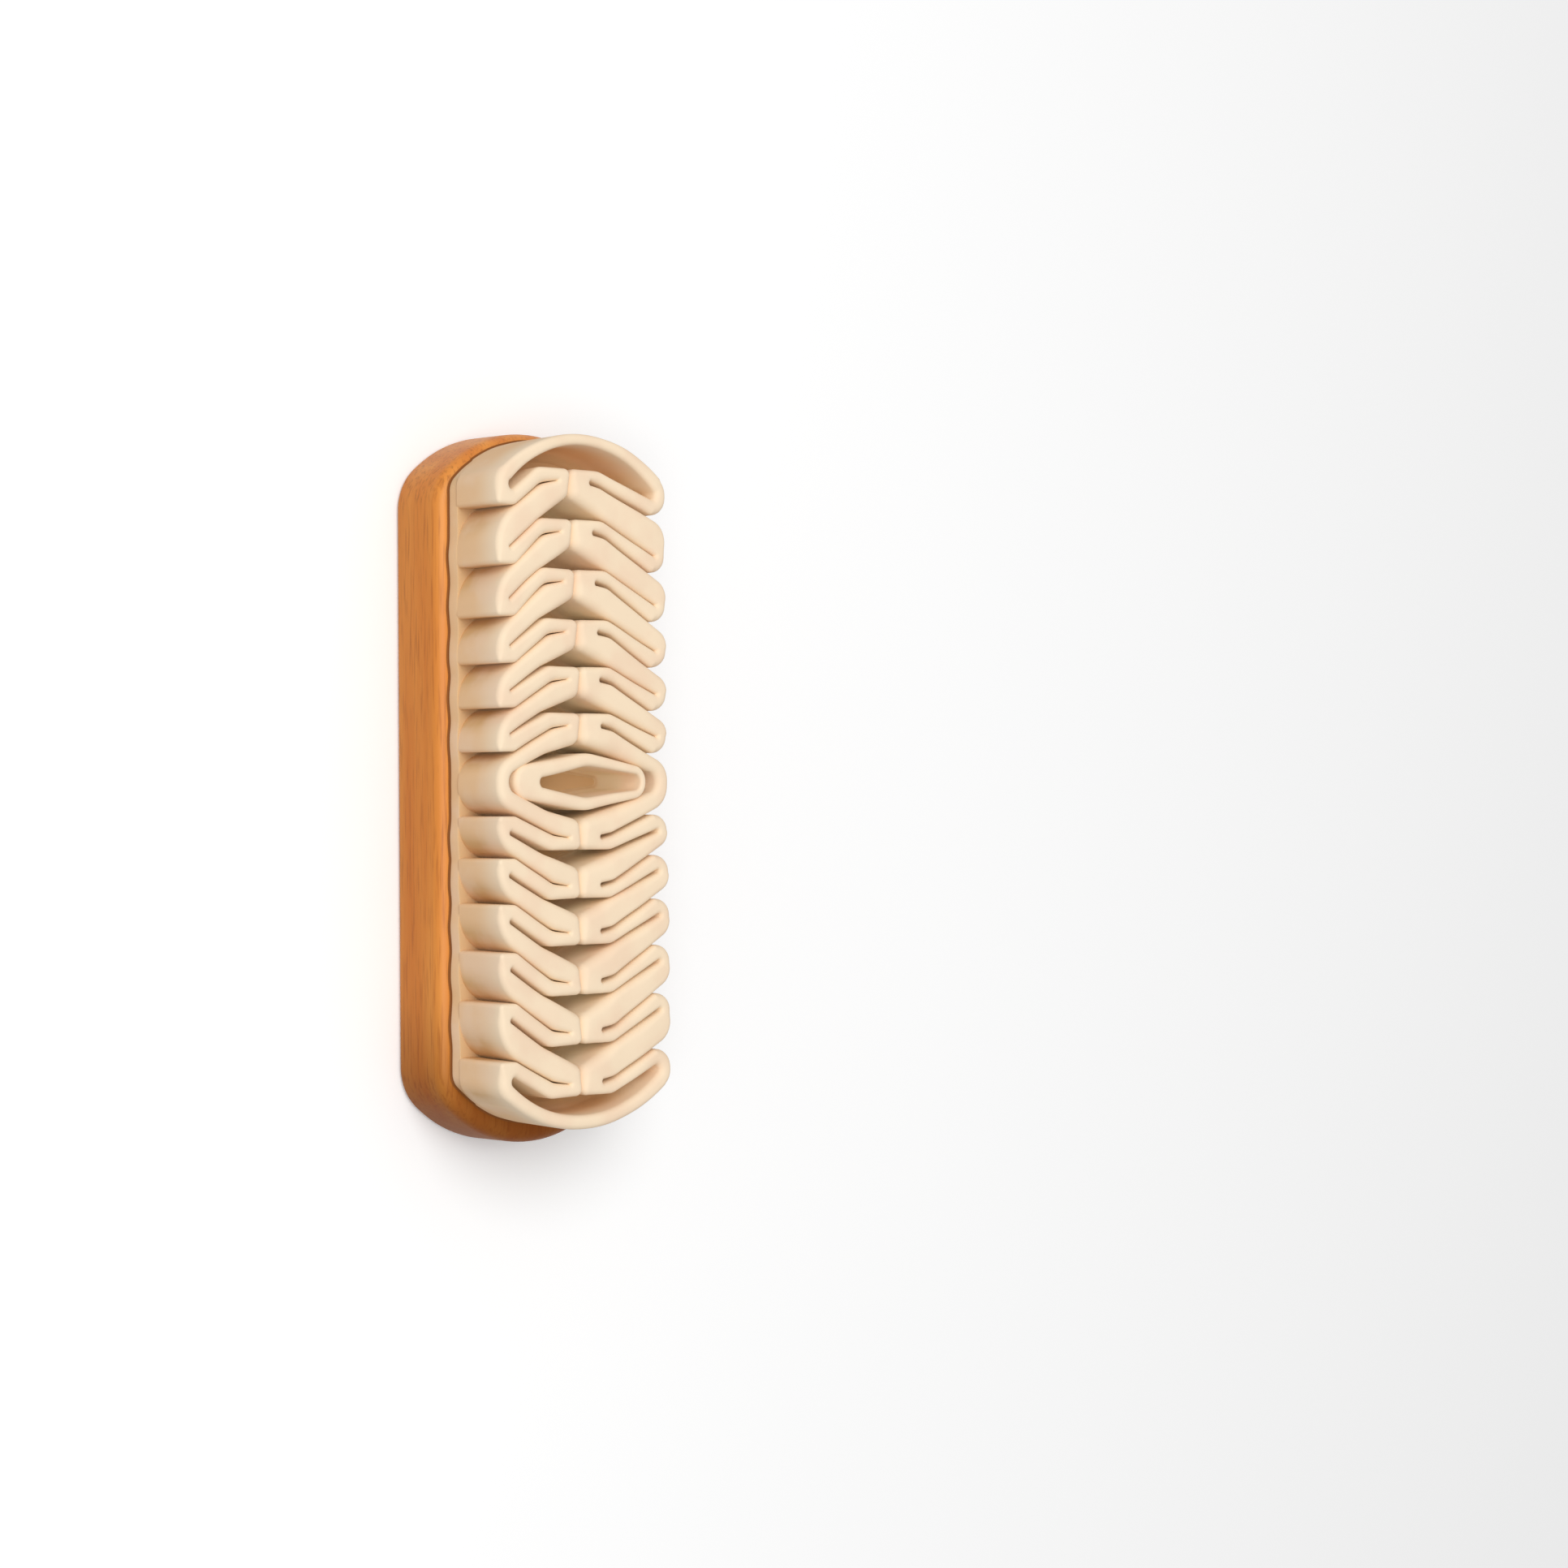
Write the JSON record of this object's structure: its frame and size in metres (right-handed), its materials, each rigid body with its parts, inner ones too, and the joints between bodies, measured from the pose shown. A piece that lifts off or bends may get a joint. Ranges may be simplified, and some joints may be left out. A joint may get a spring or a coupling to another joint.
{
  "type": "suede brush",
  "caption": "Hand brush for suede and nubuck: a round-cornered wooden block whose face is a natural crepe strip, folded on edge into fingers that meet along the middle.",
  "frame": {"origin": "middle of the block's flat back, which lies on the surface", "axes": "+Z from the wooden back towards the crepe face, +Y along the length, X across the width"},
  "size_m": [0.045, 0.13, 0.0265],
  "materials": {
    "stained_wood": "orange-brown stain under a satin varnish",
    "crepe": "matte natural crepe rubber"
  },
  "bodies": {
    "root": {"wood_block": "stained_wood", "crepe_backing": "crepe", "folded_band": "crepe", "middle_loop": "crepe"}
  },
  "joints": []
}
